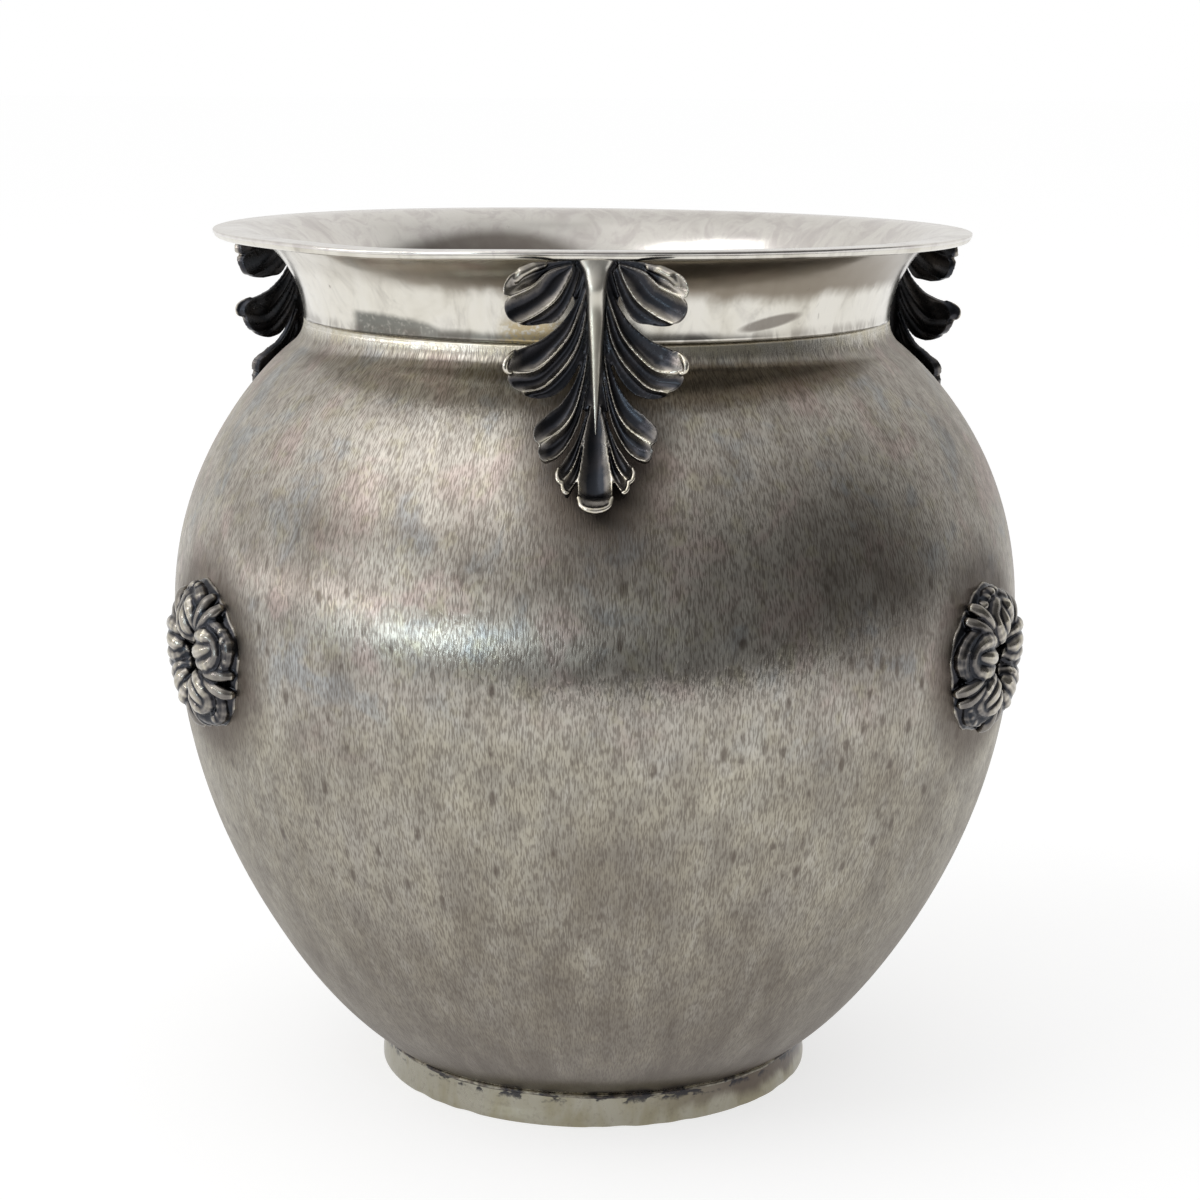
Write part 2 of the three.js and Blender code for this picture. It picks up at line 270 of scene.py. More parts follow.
def smoothed(values, edges, rounds):
    """Laplacian smoothing: each row moves halfway to the mean of its neighbours."""
    count = np.maximum(np.bincount(edges.ravel(), minlength=len(values)), 1).astype(float)[:, None]
    for _ in range(rounds):
        total = np.zeros_like(values)
        for column in range(values.shape[1]):
            total[:, column] = np.bincount(edges[:, 0], values[edges[:, 1], column], len(values))
            total[:, column] += np.bincount(edges[:, 1], values[edges[:, 0], column], len(values))
        values = values + 0.5 * (total / count - values)
    return values


def cast(name, shells, rounds, relief_weight, relief_reach):
    """One casting from overlapping closed shells: joined by a voxel remesh and softened.

    A shell is vertices, faces and how worn each vertex is, from 0 to 1. The casting's attribute "wear" adds
    to that how far each point stands out of its surroundings, in millimetres times relief_weight. These
    surroundings are wider with a larger relief_reach.
    """
    faces, tones, base = [], [], 0
    for shell_vertices, shell_faces, tone in shells:
        faces += [[i + base for i in face] for face in shell_faces]
        tones.append(np.broadcast_to(tone, len(shell_vertices)))
        base += len(shell_vertices)
    vertices, tones = np.vstack([shell[0] for shell in shells]), np.concatenate(tones)
    rough = mesh_object(name + "_rough", vertices, faces)
    remesh = rough.modifiers.new("join", "REMESH")
    remesh.mode = "VOXEL"
    remesh.voxel_size = VOXEL * MM
    remesh.use_smooth_shade = True
    graph = bpy.context.evaluated_depsgraph_get()
    mesh = bpy.data.meshes.new_from_object(rough.evaluated_get(graph))
    bpy.data.objects.remove(rough)
    points = read(mesh.vertices, "co", 3) / MM
    edges = read(mesh.edges, "vertices", 2, np.int64)
    nearest = KDTree(len(vertices))
    for i, vertex in enumerate(vertices):
        nearest.insert(vertex, i)
    nearest.balance()
    wear = np.array([[tones[nearest.find(point)[1]]] for point in points])
    points = smoothed(points, edges, rounds)
    mesh.vertices.foreach_set("co", (points * MM).ravel())
    mesh.update()
    reach = int(relief_reach * (FINE_VOXEL / VOXEL) ** 2)
    relief = np.sum((points - smoothed(points, edges, reach)) * read(mesh.vertices, "normal", 3), axis=1)
    store(mesh, "wear", smoothed(wear, edges, 3)[:, 0] + relief_weight * relief)
    mesh.polygons.foreach_set("use_smooth", [True] * len(mesh.polygons))
    return placed(name, mesh)


shoulder = np.array([NECK_RADIUS + SHOULDER_SPREAD, SEAM_HEIGHT - SHOULDER_DROP])
inward_up = np.array([-math.cos(SHOULDER_SLOPE), math.sin(SHOULDER_SLOPE)])
shoulder_rise = shoulder[1] - BELLY_HEIGHT
BOWL = [
    (BASE_FLAT_RADIUS, BASE_HEIGHT),
    (BASE_FLAT_RADIUS + 0.285 * (BELLY_RADIUS - BASE_FLAT_RADIUS), BASE_HEIGHT),
    (BELLY_RADIUS, BELLY_HEIGHT - 0.548 * (BELLY_HEIGHT - BASE_HEIGHT)),
    (BELLY_RADIUS, BELLY_HEIGHT),
]
DOME = [
    (BELLY_RADIUS, BELLY_HEIGHT),
    (BELLY_RADIUS, BELLY_HEIGHT + 0.552 * shoulder_rise),
    shoulder - 0.181 * shoulder_rise * inward_up,
    shoulder,
]
THROAT = [
    shoulder,
    shoulder + 0.26 * SHOULDER_DROP * inward_up,
    (NECK_RADIUS, SEAM_HEIGHT - 0.52 * SHOULDER_DROP),
    (NECK_RADIUS, SEAM_HEIGHT),
]
body_line = np.concatenate([bezier(BOWL, 70), bezier(DOME, 40)[1:], bezier(THROAT, 8)[1:]])


def body_radius(height):
    """The body's outer radius at a height."""
    return np.interp(height, body_line[:, 1], body_line[:, 0])


def ripples(angles, *waves):
    """The sum of waves round the axis, each of a height, a count and a start."""
    return sum(height * np.sin(count * angles + start) for height, count, start in waves)


def body_wobble(angles, r, z):
    """The slight unevenness of a hand-raised body, fading out at its ends."""
    free = smoothstep(BASE_HEIGHT + 10, 50, z) * (1 - smoothstep(185, SEAM_HEIGHT - 4, z))
    dents = ripples(angles, (1, 3, z / 19), (1, 5, 1.7 - z / 13), (1, 2, 4 + z / 31))
    return r + free * 0.09 * (dents - 3), z


def rim_wobble(angles, r, z):
    """The rim stands a little to the left and is warped, with a sag at the front left and a nick."""
    out = smoothstep(NECK_RADIUS + 3, RIM_RADIUS, r)
    signed = (angles + math.pi) % (2 * math.pi) - math.pi
    sag = 0.9 * np.exp(-((signed + 0.55) / 0.26) ** 2)
    warp = ripples(angles, (0.16, 2, 0.6), (0.12, 3, 2.1), (-0.32, 1, 0))
    nick = 0.5 * np.exp(-((signed - 1.42) / 0.02) ** 2)
    return r - out * (nick + 0.15 + 1.2 * np.sin(angles)), z + out * (warp - sag - 0.6)


def foot_wobble(angles, r, z):
    """The foot strip's edge is a little uneven, lifting clear of the table here and there."""
    low = 1 - smoothstep(TABLE, TABLE + 4, z)
    lift = ripples(angles, (0.16, 7, 0.4), (0.12, 19, 0), (0.1, 43, 2))
    return r - 0.1 * low * (1 + lift), z + low * np.maximum(lift, 0)


def bead_wobble(angles, r, z):
    """Solder stands proud of the seam in places and sinks into it in others."""
    return r - 0.25 + 0.22 * ripples(angles, (0.5, 9, 1), (0.3, 23, 0), (0.3, 41, 3)), z


body_inside = inset(body_line, WALL)[::-1]
body_profile = np.concatenate([[(0, BASE_HEIGHT)], body_line, body_inside, [(0, BASE_HEIGHT + WALL)]])
raised_body = lathe("raised_body", body_profile, body_wobble, inner_from=len(body_line) + 1)

plate_low = RIM_TOP - RIM_PLATE
flare_radius = RIM_RADIUS - RIM_FLAT
flare = bezier([
    (NECK_RADIUS, SEAM_HEIGHT),
    (NECK_RADIUS, SEAM_HEIGHT + 0.44 * (RIM_TOP - SEAM_HEIGHT)),
    ((flare_radius + NECK_RADIUS) / 2, plate_low),
    (flare_radius, plate_low),
], 36)
FLARE_LENGTH = float(np.sum(np.linalg.norm(np.diff(flare, axis=0), axis=1)))
# Where the painted dark reflection on the neck begins, along its outside.
REFLECTED_BAND_FROM = 0.26 * FLARE_LENGTH
flare_inside = inset(flare, RIM_PLATE)
flare_inside[0] = (NECK_RADIUS - WALL, SEAM_HEIGHT)
plate_edge = [(RIM_RADIUS - 1.5, plate_low), (RIM_RADIUS, plate_low), (RIM_RADIUS, RIM_TOP),
              (RIM_RADIUS - 1.5, RIM_TOP), (RIM_RADIUS - 3, RIM_TOP - 0.05)]
# The two corners at the seam stay sharp. Rounding makes five points of each, and these are taken off again.
neck_rounded = soften(np.concatenate([flare, plate_edge, flare_inside[::-1]]), 0.4)[5:-5]
spun_neck = lathe("spun_neck", np.concatenate([flare[:1], neck_rounded, flare_inside[:1]]), rim_wobble)

wire_middle = RIM_RADIUS - RIM_PLATE / 4 - WIRE_WIDTH / 2
wire_turn = full_turn(24)
wire_profile = np.stack([
    wire_middle + WIRE_WIDTH / 2 * np.cos(wire_turn),
    plate_low + 0.15 - (plate_low - WIRE_LOW.z + 0.15) * np.maximum(np.sin(wire_turn), -0.1),
], axis=1)
edge_wire = lathe("edge_wire", wire_profile[::-1], rim_wobble)

foot_top = SEAM_AT_FOOT + 0.6
foot_profile = np.array([
    (FOOT_RADIUS - FOOT_WALL, TABLE), (FOOT_HIGH.x, TABLE), (FOOT_HIGH.x, TABLE + 1.2),
    (FOOT_RADIUS + 0.15, TABLE + 4), (FOOT_RADIUS, SEAM_AT_FOOT - 1), (FOOT_RADIUS, foot_top),
    (FOOT_RADIUS - FOOT_WALL, foot_top - 1.6),
])
foot_strip = lathe("foot_strip", soften(foot_profile, 0.35, 4), foot_wobble)

bead_turn = full_turn(12)
bead_profile = np.stack([FOOT_RADIUS - 0.1 + 0.7 * np.cos(bead_turn),
                         SEAM_AT_FOOT + 0.1 + 0.6 * np.sin(bead_turn)], axis=1)
foot_solder = lathe("foot_solder", bead_profile, bead_wobble)


leaf_top = LEAF_HIGH.z + 0.4
leaf_radius = wire_middle - 1
tip_height = leaf_top - LEAF_LENGTH
tip_radius = body_radius(tip_height) + LEAF_TIP_STANDOFF
leaf_line = bezier([
    (leaf_radius, leaf_top),
    (leaf_radius, leaf_top - 0.55 * LEAF_LENGTH),
    (tip_radius - 0.15 * LEAF_LENGTH, tip_height + 0.17 * LEAF_LENGTH),
    (tip_radius, tip_height),
], 400)
# It runs on past the tip, so that the end scallop has a place to go.
SPINE = np.concatenate([leaf_line, leaf_line[-1] + np.outer(np.linspace(0.2, 5, 24), [0.5, -1.0])])
SPINE_ALONG = directions(SPINE)


def on_leaf(u, v, w):
    """A point of the front leaf from how far across, down and out it lies."""
    u, v, w = np.broadcast_arrays(u, v, w)
    place = np.interp(leaf_top - v, SPINE[::-1, 1], np.arange(len(SPINE))[::-1])
    index = np.clip(place.astype(int), 0, len(SPINE) - 2)
    at = SPINE[index] + (SPINE[index + 1] - SPINE[index]) * (place - index)[..., None]
    along = SPINE_ALONG[index]
    out = w + LEAF_CURL * (u / LEAF_HALF_WIDTH) ** 2 * (1 - 0.45 * v / LEAF_LENGTH)
    return np.stack([u, along[..., 1] * out - at[..., 0], at[..., 1] + along[..., 0] * out], axis=-1)


# The lobes of one half from the top down: ridges, their heights, cups, shine and lift. The ridges run from
# beside the vein to the tip, in percent of the leaf's half width across and of its length down. The cups say
# how far the troughs between them turn up into a lip at the tip, the shine how worn the troughs are there,
# and the lift how far the lobe's end stands out.
LOBES = [
    ([[[22, 0.6], [46, 0.9], [69, 2.4], [91, 5.2]],
      [[24, 2.2], [54, 5.3], [69, 10.4], [82, 12.8], [95, 14.8]],
      [[25, 2.4], [33, 9.8], [46.5, 17.2], [67, 22.7], [82, 25.6]],
      [[18, 5.4], [24, 13], [33, 20.6], [44.5, 25.6], [60, 26.6]]],
     [0.5, 1, 1, 0.5], [0.8, 0.4, 0.2], [0.6, 0, 0], 0.8),
    ([[[12, 6.5], [22, 17], [37.7, 25.9], [57.6, 32.2], [73, 35], [88, 37.2]],
      [[11, 13], [20, 22.3], [29, 30.8], [46.5, 39], [67, 45.2], [93, 46.4]],
      [[11, 22], [17.7, 33.2], [31, 42.4], [51, 50.3], [63, 53.2], [78, 54.4]],
      [[10, 30], [18, 42], [29, 50], [43, 55.2], [56, 57]]],
     [0.2, 1, 1, 0.2], [1.2, 0.35, 0], [0, 0, 0], 0.7),
    ([[[9, 34], [22, 48.8], [37.7, 58.5], [52, 63], [65, 67.6]],
      [[9, 38], [13.5, 48.8], [22, 61], [35.4, 69], [60, 75.8]],
      [[9, 50], [17, 65.8], [32, 77], [43, 81.6], [52, 83.6]]],
     [0.35, 1, 0.9], [0.7, 0.7], [0, 0], 1.7),
    ([[[10, 62], [21, 73.5], [31, 80.2], [41, 86]],
      [[9, 65], [17, 77], [24, 85], [36, 92]],
      [[8, 68], [14, 80.5], [19, 89], [29, 96.5]]],
     [0.7, 1, 0.9], [0.9, 0.9], [0.25, 0.35], 1.6),
]
# The lobe at the leaf's tip, in the same terms.
END_LOBE = ([[[6, 60], [14, 78], [19, 91], [19, 98.5]],
             [[-6, 60], [-14, 78], [-19, 91], [-19, 98.5]]],
            [1, 1], [1.4], [0], 1.4)
RIDGE = 1.9
SCALLOP_REACH = 1.9
LIPPED_FROM = 0.9
ALONG_STEPS = 48
ACROSS_STEPS = 14
# How far the lobes of each side lean out: unequally, as on a hand-chased casting.
LEANS = {1: [0.5, -0.3, 0.4, 0.1], -1: [-0.2, 0.5, 0.2, -0.3]}


def lip_shell(edge, radii):
    """A tube along a scallop's edge, worn bright in front and dark behind."""
    vertices, faces = tube_shell(edge, radii)
    middle = np.concatenate([np.repeat(edge, TUBE_SIDES, axis=0), edge[[0, -1]]])
    return vertices, faces, np.where(vertices[:, 1] < middle[:, 1] + 0.05, 0.85, 0.1)


def lobe_shells(shape, side, lean):
    """A fluted lobe: troughs between thin ridges, each ending in a scallop that may turn up into a lip."""
    scale = np.array([LEAF_HALF_WIDTH, LEAF_LENGTH]) / 100
    ridges, *numbers, lift = shape
    ridges = np.array([spline(ridge, ALONG_STEPS) * scale for ridge in ridges])
    heights, cups, shine = [np.array(row) for row in numbers]
    troughs = len(ridges) - 1
    t = np.linspace(0, 1, ALONG_STEPS)[:, None]
    s = np.linspace(0, troughs, troughs * ACROSS_STEPS + 1)
    trough = np.minimum(s.astype(int), troughs - 1)
    share = s - trough
    middle = np.abs(2 * share - 1)
    a, b = ridges[trough], ridges[trough + 1]
    flat = (a * (1 - share)[:, None, None] + b * share[:, None, None]).transpose(1, 0, 2)
    outwards = (np.gradient(a, axis=1) + np.gradient(b, axis=1)).transpose(1, 0, 2)
    outwards /= np.maximum(np.linalg.norm(outwards, axis=2), 1e-6)[..., None]
    width = np.linalg.norm(a[:, -1] - b[:, -1], axis=1)
    reach = SCALLOP_REACH * np.minimum(width / 5, 1.4) * t ** 4 * np.sqrt(1 - middle ** 2)
    flat = flat + outwards * reach[..., None]
    tall = np.where(share < 0.5, heights[trough], heights[trough + 1])
    ridge = tall * np.minimum(1, 0.35 + 1.2 * t) * middle ** 1.9
    cup = cups[trough] * smoothstep(0.78, 1.0, t) * (1 - middle ** 2.2)
    front = RIDGE * (ridge + cup) + lift * t ** 2 + lean * t ** 3
    outside = on_leaf(side * flat[..., 0], flat[..., 1], front)
    behind = on_leaf(side * flat[..., 0], flat[..., 1], 0.55 * front - LEAF_METAL)
    worn = np.maximum(tall * middle ** 1.65 * np.minimum(1, 0.45 + 0.8 * t), 0.6 * np.minimum(cup, 1))
    worn = np.maximum(0.85 * worn, shine[trough] * smoothstep(0.4, 0.75, t))
    turned = slice(None, None, -1 if side > 0 else 1)
    tones = np.concatenate([worn[:, turned].ravel(), np.full(worn.size, 0.12)])
    shells = [(*sheet_shell(outside[:, turned], behind[:, turned]), tones)]
    for k, amount in enumerate(cups):
        if amount >= LIPPED_FROM:
            lip = outside[-1, k * ACROSS_STEPS:(k + 1) * ACROSS_STEPS + 1]
            radii = 0.32 + 0.3 * np.sin(np.linspace(0.3, math.pi - 0.3, len(lip)))
            shells.append(lip_shell(lip, radii * min(amount, 1.2)))
    return shells


def depth_to_body(down):
    """How far behind the leaf's middle the body's wall lies, at a distance down the leaf."""
    depths = np.linspace(0, 14, 281)
    points = on_leaf(0, down, -0.3 - depths)
    return float(np.max(depths[-points[:, 1] > body_radius(points[:, 2]) - SUNK]))


# The stem at shares of the leaf's length: half width and depth, most where it stands on the shoulder.
STEM = [(0, 5.6, 2.2), (0.1, 5.6, 2.2), (0.2, 5.4, 2.2), (0.33, 4.4, 2.0), (0.61, 2.8, 2.0), (0.7, 2.6, 6.5),
        (0.8, 2.6, 8.2), (0.88, 2.4, 6.8), (0.94, 1.8, 2.0)]


def stem_shell():
    """The stem behind the vein, with the foot that stands on the shoulder."""
    turn = full_turn(16)
    rings = []
    for share, half, deep in STEM:
        deep = min(deep, depth_to_body(share * LEAF_LENGTH))
        w = -0.3 - deep / 2 + deep / 2 * squarish(np.sin(turn), 0.7)
        rings.append(on_leaf(half * squarish(np.cos(turn), 0.7), share * LEAF_LENGTH, w))
    return (*loft_shell(rings), 0.08)


def curl_shell(side, up):
    """The folded tip of the top lobe, a short worn knob on its upper edge."""
    u = side * np.array([56, 70, 83, 90]) / 100 * LEAF_HALF_WIDTH
    v = (np.array([3.0, 4.0, 6.2, 9.5]) + up) / 100 * LEAF_LENGTH
    vertices, faces, worn = lip_shell(on_leaf(u, v, [0.5, 1.0, 1.3, 0.8]), np.array([0.7, 1.2, 1.4, 0.9]))
    return vertices, faces, 0.8 * worn


# The vein's half width at depths down the leaf: a flared head, then a long taper to a point.
VEIN = [(0, 4.7), (1.5, 3.9), (3.2, 3.1), (7.7, 2.45), (12.2, 2.15), (15.9, 1.95), (21.3, 1.65), (25.9, 1.35),
        (30.4, 1.05), (36, 0.65), (42, 0.14)]


def vein_shell():
    """The polished bar down the leaf's middle, softly rounded."""
    turn = full_turn(24)
    rings = []
    for down, half in spline(VEIN, 60):
        high = 1.7 + 1.1 * np.exp(-((down - 7) / 3.2) ** 2) + 0.4 * smoothstep(13, 20, down)
        high -= 1.5 * smoothstep(18, 42, down)
        w = -0.5 + (high + 0.5) * np.maximum(np.sin(turn), 0) ** 0.8 + 0.8 * np.minimum(np.sin(turn), 0)
        rings.append(on_leaf(half * squarish(np.cos(turn), 0.75), max(down, 0), w))
    return loft_shell(rings)


def leaf_shells():
    """All shells of the leaf."""
    shells = [stem_shell(), curl_shell(1, 0), curl_shell(-1, -0.8)] + lobe_shells(END_LOBE, 1, 0.3)
    for side, leans in LEANS.items():
        for shape, lean in zip(LOBES, leans):
            shells += lobe_shells(shape, side, lean)
    return shells


leaf = cast("leaf_casting_1", leaf_shells(), rounds=5, relief_weight=0.35, relief_reach=26)
vein = mesh_object("vein_bar_1", *vein_shell())


def on_belly(across, up, out):
    """A point of the front rosette from how far across, up and out of the belly it lies."""
    across, up, out = np.broadcast_arrays(across, up, out)
    seat = np.sqrt(body_radius(ROSETTE_HEIGHT + up) ** 2 - across ** 2)
    return np.stack([across, -(seat + out), ROSETTE_HEIGHT + up], axis=-1)


def bent_strand(middle, centre, turn, points, radii):
    """A ridge through points of outwards, sideways and height, about a petal's centre and turned about it."""
    path = spline(points, 20)
    radii = np.interp(np.linspace(0, 1, 20), np.linspace(0, 1, len(radii)), radii)
    out = centre + path[:, 0] * math.cos(turn) - path[:, 1] * math.sin(turn)
    aside = path[:, 0] * math.sin(turn) + path[:, 1] * math.cos(turn)
    across = out * math.cos(middle) - aside * math.sin(middle)
    up = out * math.sin(middle) + aside * math.cos(middle)
    return tube_shell(on_belly(across, up, path[:, 2]), radii, flatten=0.9, up=(0.0, -1.0, 0.0))


# The ground under the petals: shares of the rosette's radius and heights off the belly, from the back.
GROUND = [(0.05, -SUNK), (0.35, -SUNK), (0.65, -SUNK), (0.95, -SUNK), (0.95, 0.2), (0.88, 0.9), (0.6, 1.6),
          (0.3, 1.2), (0.12, 0.2)]
PETALS = 5
PETAL_CENTRE = 11.4
BEADS = 9


def petal_strands(random, top):
    """The strands of a petal: points, radii and what share of the petal's turn each takes.

    Two nested loops lie in a row of beads, under a knob that turns over with a smaller one at each side.
    """
    for spread, high, thick in ((6.4, 1.9, 1.95), (3.7, 3.4, 2.0)):
        spread *= 1 + random.uniform(-0.1, 0.1)
        high += random.uniform(-0.4, 0.4)
        tip = spread * random.uniform(0.92, 1.14)
        limb = [(-6.2, 0.45 * spread, 2.2), (-3.4, 0.92 * spread, high + 0.9), (0.6, spread, high + 1.0),
                (0.72 * tip, 0.62 * spread, high)]
        end = (tip, random.uniform(-0.8, 0.8), high - 0.4)
        points = [(out, -aside, lifted) for out, aside, lifted in limb] + [end] + limb[::-1]
        radii = thick + np.array([-0.4, 0, 0.25, 0, 0.45, 0, 0.25, 0, -0.4])
        yield points, radii + random.uniform(-0.35, 0.35, 9), 1
    for bead in range(BEADS):
        turned = math.radians(-84 + 21 * bead)
        far = 6.9 + random.uniform(-0.25, 0.25)
        out, aside = far * math.cos(turned), far * math.sin(turned)
        points = [(out - 0.8, aside, 1.5), (out, aside, 2.4), (out + 0.8, aside, 1.2)]
        yield points, np.array([0.9, 1.5, 0.9]) * random.uniform(0.85, 1.2), 1
    lean = random.uniform(-0.9, 0.9)
    points = [(4.4, lean, 2.8), (2.4, lean * 0.6, top - 3.4), (-0.8, 0, top - 2.7),
              (-3.4, -lean * 0.4, top - 3.2), (-5.4, -lean * 0.6, top - 4.3)]
    yield points, np.array([1.2, 1.9, 2.6, 2.8, 1.9]) * random.uniform(0.88, 1.03), 0.5
    for aside, big in ((-3.3, 1.0), (3.3, 0.9)):
        big += random.uniform(-0.15, 0.15)
        high = top - 3.6 + random.uniform(-0.5, 0.3)
        points = [(1.6, aside * 0.8, 3.0), (0.2, aside * 1.1, high), (-2.0, aside * 1.1, high + 0.2),
                  (-4.0, aside, high - 1.0)]
        yield points, np.array([1.0, 1.7, 2.1, 1.6]) * big, 0.5


def rosette_parts():
    """Petals round a hollow, with thin leaves between them, on a low ground."""
    random = np.random.default_rng(5)
    turn = full_turn(60)
    rings = []
    for share, high in GROUND:
        r = ROSETTE_RADIUS * share * (1 + 0.03 * np.sin(5 * turn) + 0.015 * np.sin(17 * turn))
        rings.append(on_belly(r * np.cos(turn), r * np.sin(turn), high))
    parts = [loft_shell(rings)]
    top = ROSETTE_HIGH.y - body_radius(ROSETTE_HEIGHT) - 0.4
    for petal in range(PETALS):
        middle = math.radians(90 + 360 / PETALS * petal) + random.uniform(-0.07, 0.07)
        swing = random.uniform(-0.3, 0.75)
        centre = PETAL_CENTRE + random.uniform(-0.7, 0.5)
        for points, radii, share in petal_strands(random, top):
            parts.append(bent_strand(middle, centre, swing * share, points, radii))
        between = middle + math.pi / PETALS
        for aside in (-1.9, 1.3):
            points = [(-3.6, aside * 0.3, 2.2), (-0.6, aside * 0.7, 4.0), (2.8, aside * 1.1, 3.6),
                      (5.4, aside * 1.45, 2.6), (7.0, aside * 1.5, 0.9)]
            leaning = 0.2 + random.uniform(-0.1, 0.1)
            parts.append(bent_strand(between, 11.8, leaning, points, [0.9, 1.5, 1.9, 1.8, 1.2]))
    return parts


def rosette_shells():
    """The rosette's shells, worn more the further they stand out."""
    shells = []
    for vertices, faces in rosette_parts():
        out = np.hypot(vertices[:, 0], vertices[:, 1]) - body_radius(vertices[:, 2])
        shells.append((vertices, faces, 0.62 * smoothstep(2.5, 8.5, out) - 0.06))
    return shells


rosette = cast("rosette_casting_front", rosette_shells(), rounds=2, relief_weight=2.9, relief_reach=34)


def around_axis(thing, name, degrees):
    """A copy turned about the vase's axis that shares the mesh."""
    copy = placed(name, thing.data)
    copy.matrix_world = Matrix.Rotation(math.radians(degrees), 4, "Z")
    return copy


leaves, veins, rosettes = [leaf], [vein], []
for i in range(COUNT):
    turn = 360 / COUNT * i
    if i:
        leaves.append(around_axis(leaf, f"leaf_casting_{i + 1}", turn))
        veins.append(around_axis(vein, f"vein_bar_{i + 1}", turn))
    rosettes.append(around_axis(rosette, f"rosette_casting_{i + 1}", turn + 180 / COUNT))
bpy.data.objects.remove(rosette)


class Nodes:
    """A node tree whose nodes are added by short calls. A value is a number, a colour or another's output."""

    def __init__(self, owner):
        owner.use_nodes = True
        self.tree = owner.node_tree
        self.tree.nodes.clear()

    def add(self, kind, **settings):
        node = self.tree.nodes.new("ShaderNode" + kind)
        for name, value in settings.items():
            setattr(node, name, value)
        return node

    def feed(self, socket, value):
        if isinstance(value, bpy.types.NodeSocket):
            self.tree.links.new(value, socket)
        elif isinstance(value, tuple) and len(value) == 3 and len(socket.default_value) == 4:
            socket.default_value = (*value, 1)
        else:
            socket.default_value = value

    def made(self, kind, *values, **settings):
        """A new node's first output, with its inputs fed in their order."""
        node = self.add(kind, **settings)
        for socket, value in zip(node.inputs, values):
            self.feed(socket, value)
        return node.outputs[0]

    def named(self, kind, **values):
        """A new node's outputs, with some of its inputs fed by name."""
        node = self.add(kind)
        for name, value in values.items():
            self.feed(node.inputs[name.replace("_", " ")], value)
        return node.outputs

    def calc(self, operation, *values, clamp=False):
        return self.made("Math", *values, operation=operation, use_clamp=clamp)

    def plus(self, a, b, clamp=False):
        return self.calc("ADD", a, b, clamp=clamp)

    def minus(self, a, b):
        return self.calc("SUBTRACT", a, b)

    def times(self, first, *others):
        for other in others:
            first = self.calc("MULTIPLY", first, other)
        return first

    def most(self, first, *others):
        for other in others:
            first = self.calc("MAXIMUM", first, other)
        return first

    def squares(self, a, b):
        return self.plus(self.times(a, a), self.times(b, b))

    def swing(self, noise, size):
        """Noise moved to lie about zero and scaled."""
        return self.times(self.minus(noise, 0.5), size)

    def parts(self, vector):
        return self.named("SeparateXYZ", Vector=vector)

    def vector(self, x, y, z):
        return self.made("CombineXYZ", x, y, z)

    def scaled(self, vector, x, y, z):
        return self.made("VectorMath", vector, (x, y, z), operation="MULTIPLY")

    def attribute(self, name):
        return self.add("Attribute", attribute_name=name).outputs["Fac"]

    def noise(self, vector, scale, detail=2, roughness=0.5, distortion=0):
        return self.named("TexNoise", Vector=vector, Scale=scale, Detail=detail, Roughness=roughness,
                          Distortion=distortion)[0]

    def cells(self, vector, scale, randomness=1):
        return self.named("TexVoronoi", Vector=vector, Scale=scale, Randomness=randomness)

    def remap(self, value, low, high, to_low=0.0, to_high=1.0, smooth=True):
        kind = "SMOOTHSTEP" if smooth else "LINEAR"
        return self.made("MapRange", value, low, high, to_low, to_high, interpolation_type=kind)

    def mix(self, share, a, b):
        node = self.add("Mix", data_type="RGBA")
        sockets = [node.inputs["Factor"]] + [s for s in node.inputs if s.type == "RGBA"]
        for socket, value in zip(sockets, (share, a, b)):
            self.feed(socket, value)
        return [s for s in node.outputs if s.type == "RGBA"][0]

    def layers(self, colour, *covers):
        """The colour with others laid over it in turn, each by its share."""
        for share, over in covers:
            colour = self.mix(share, colour, over)
        return colour

    def bump(self, height, strength, distance, **normal):
        return self.named("Bump", Strength=strength, Distance=distance * MM, Height=height, **normal)[0]


class Metal(Nodes):
    """A metal's material, which knows the place on the vase in millimetres."""

    def __init__(self, name):
        self.material = bpy.data.materials.new(name)
        super().__init__(self.material)
        self.mm = self.scaled(self.add("TexCoord").outputs["Object"], 1 / MM, 1 / MM, 1 / MM)
        self.x, self.y, self.z = self.parts(self.mm)

    def finish(self, colour, roughness, normal, **others):
        looks = {"Base_Color": colour, "Metallic": 1.0, "Roughness": roughness, "Normal": normal}
        self.named("OutputMaterial", Surface=self.named("BsdfPrincipled", **looks, **others)[0])
        return self.material


# Brown patina, also used to paint shade.
PATINA_AND_SHADE = (0.118, 0.096, 0.080)
DARK_PATINA = (0.042, 0.041, 0.046)
UNDER_LEAF_SHADE = (0.045, 0.036, 0.031)
SATIN = (0.46, 0.425, 0.38)
SATIN_LIGHT = (0.56, 0.53, 0.475)
SATIN_BRIGHT = (0.60, 0.575, 0.52)
SATIN_PINK = (0.53, 0.44, 0.405)
SATIN_BLUE = (0.42, 0.435, 0.44)
SATIN_GREEN = (0.49, 0.455, 0.35)
SATIN_YELLOW = (0.45, 0.418, 0.34)
SATIN_GREY = (0.395, 0.37, 0.315)
POLISHED = (0.72, 0.695, 0.635)
YELLOWED = (0.62, 0.575, 0.455)
GREYED = (0.735, 0.715, 0.69)
PURPLED = (0.62, 0.585, 0.58)
BURNT = (0.42, 0.33, 0.17)
REFLECTED_GREY = (0.15, 0.15, 0.135)
REFLECTED_BROWN = (0.225, 0.19, 0.147)
FOOT_PALE = (0.345, 0.327, 0.27)
FOOT_YELLOW = (0.29, 0.265, 0.19)
BLACKENED = (0.03, 0.033, 0.04)
BROWNED = (0.175, 0.162, 0.152)
WORN_RIDGE = (0.70, 0.655, 0.59)


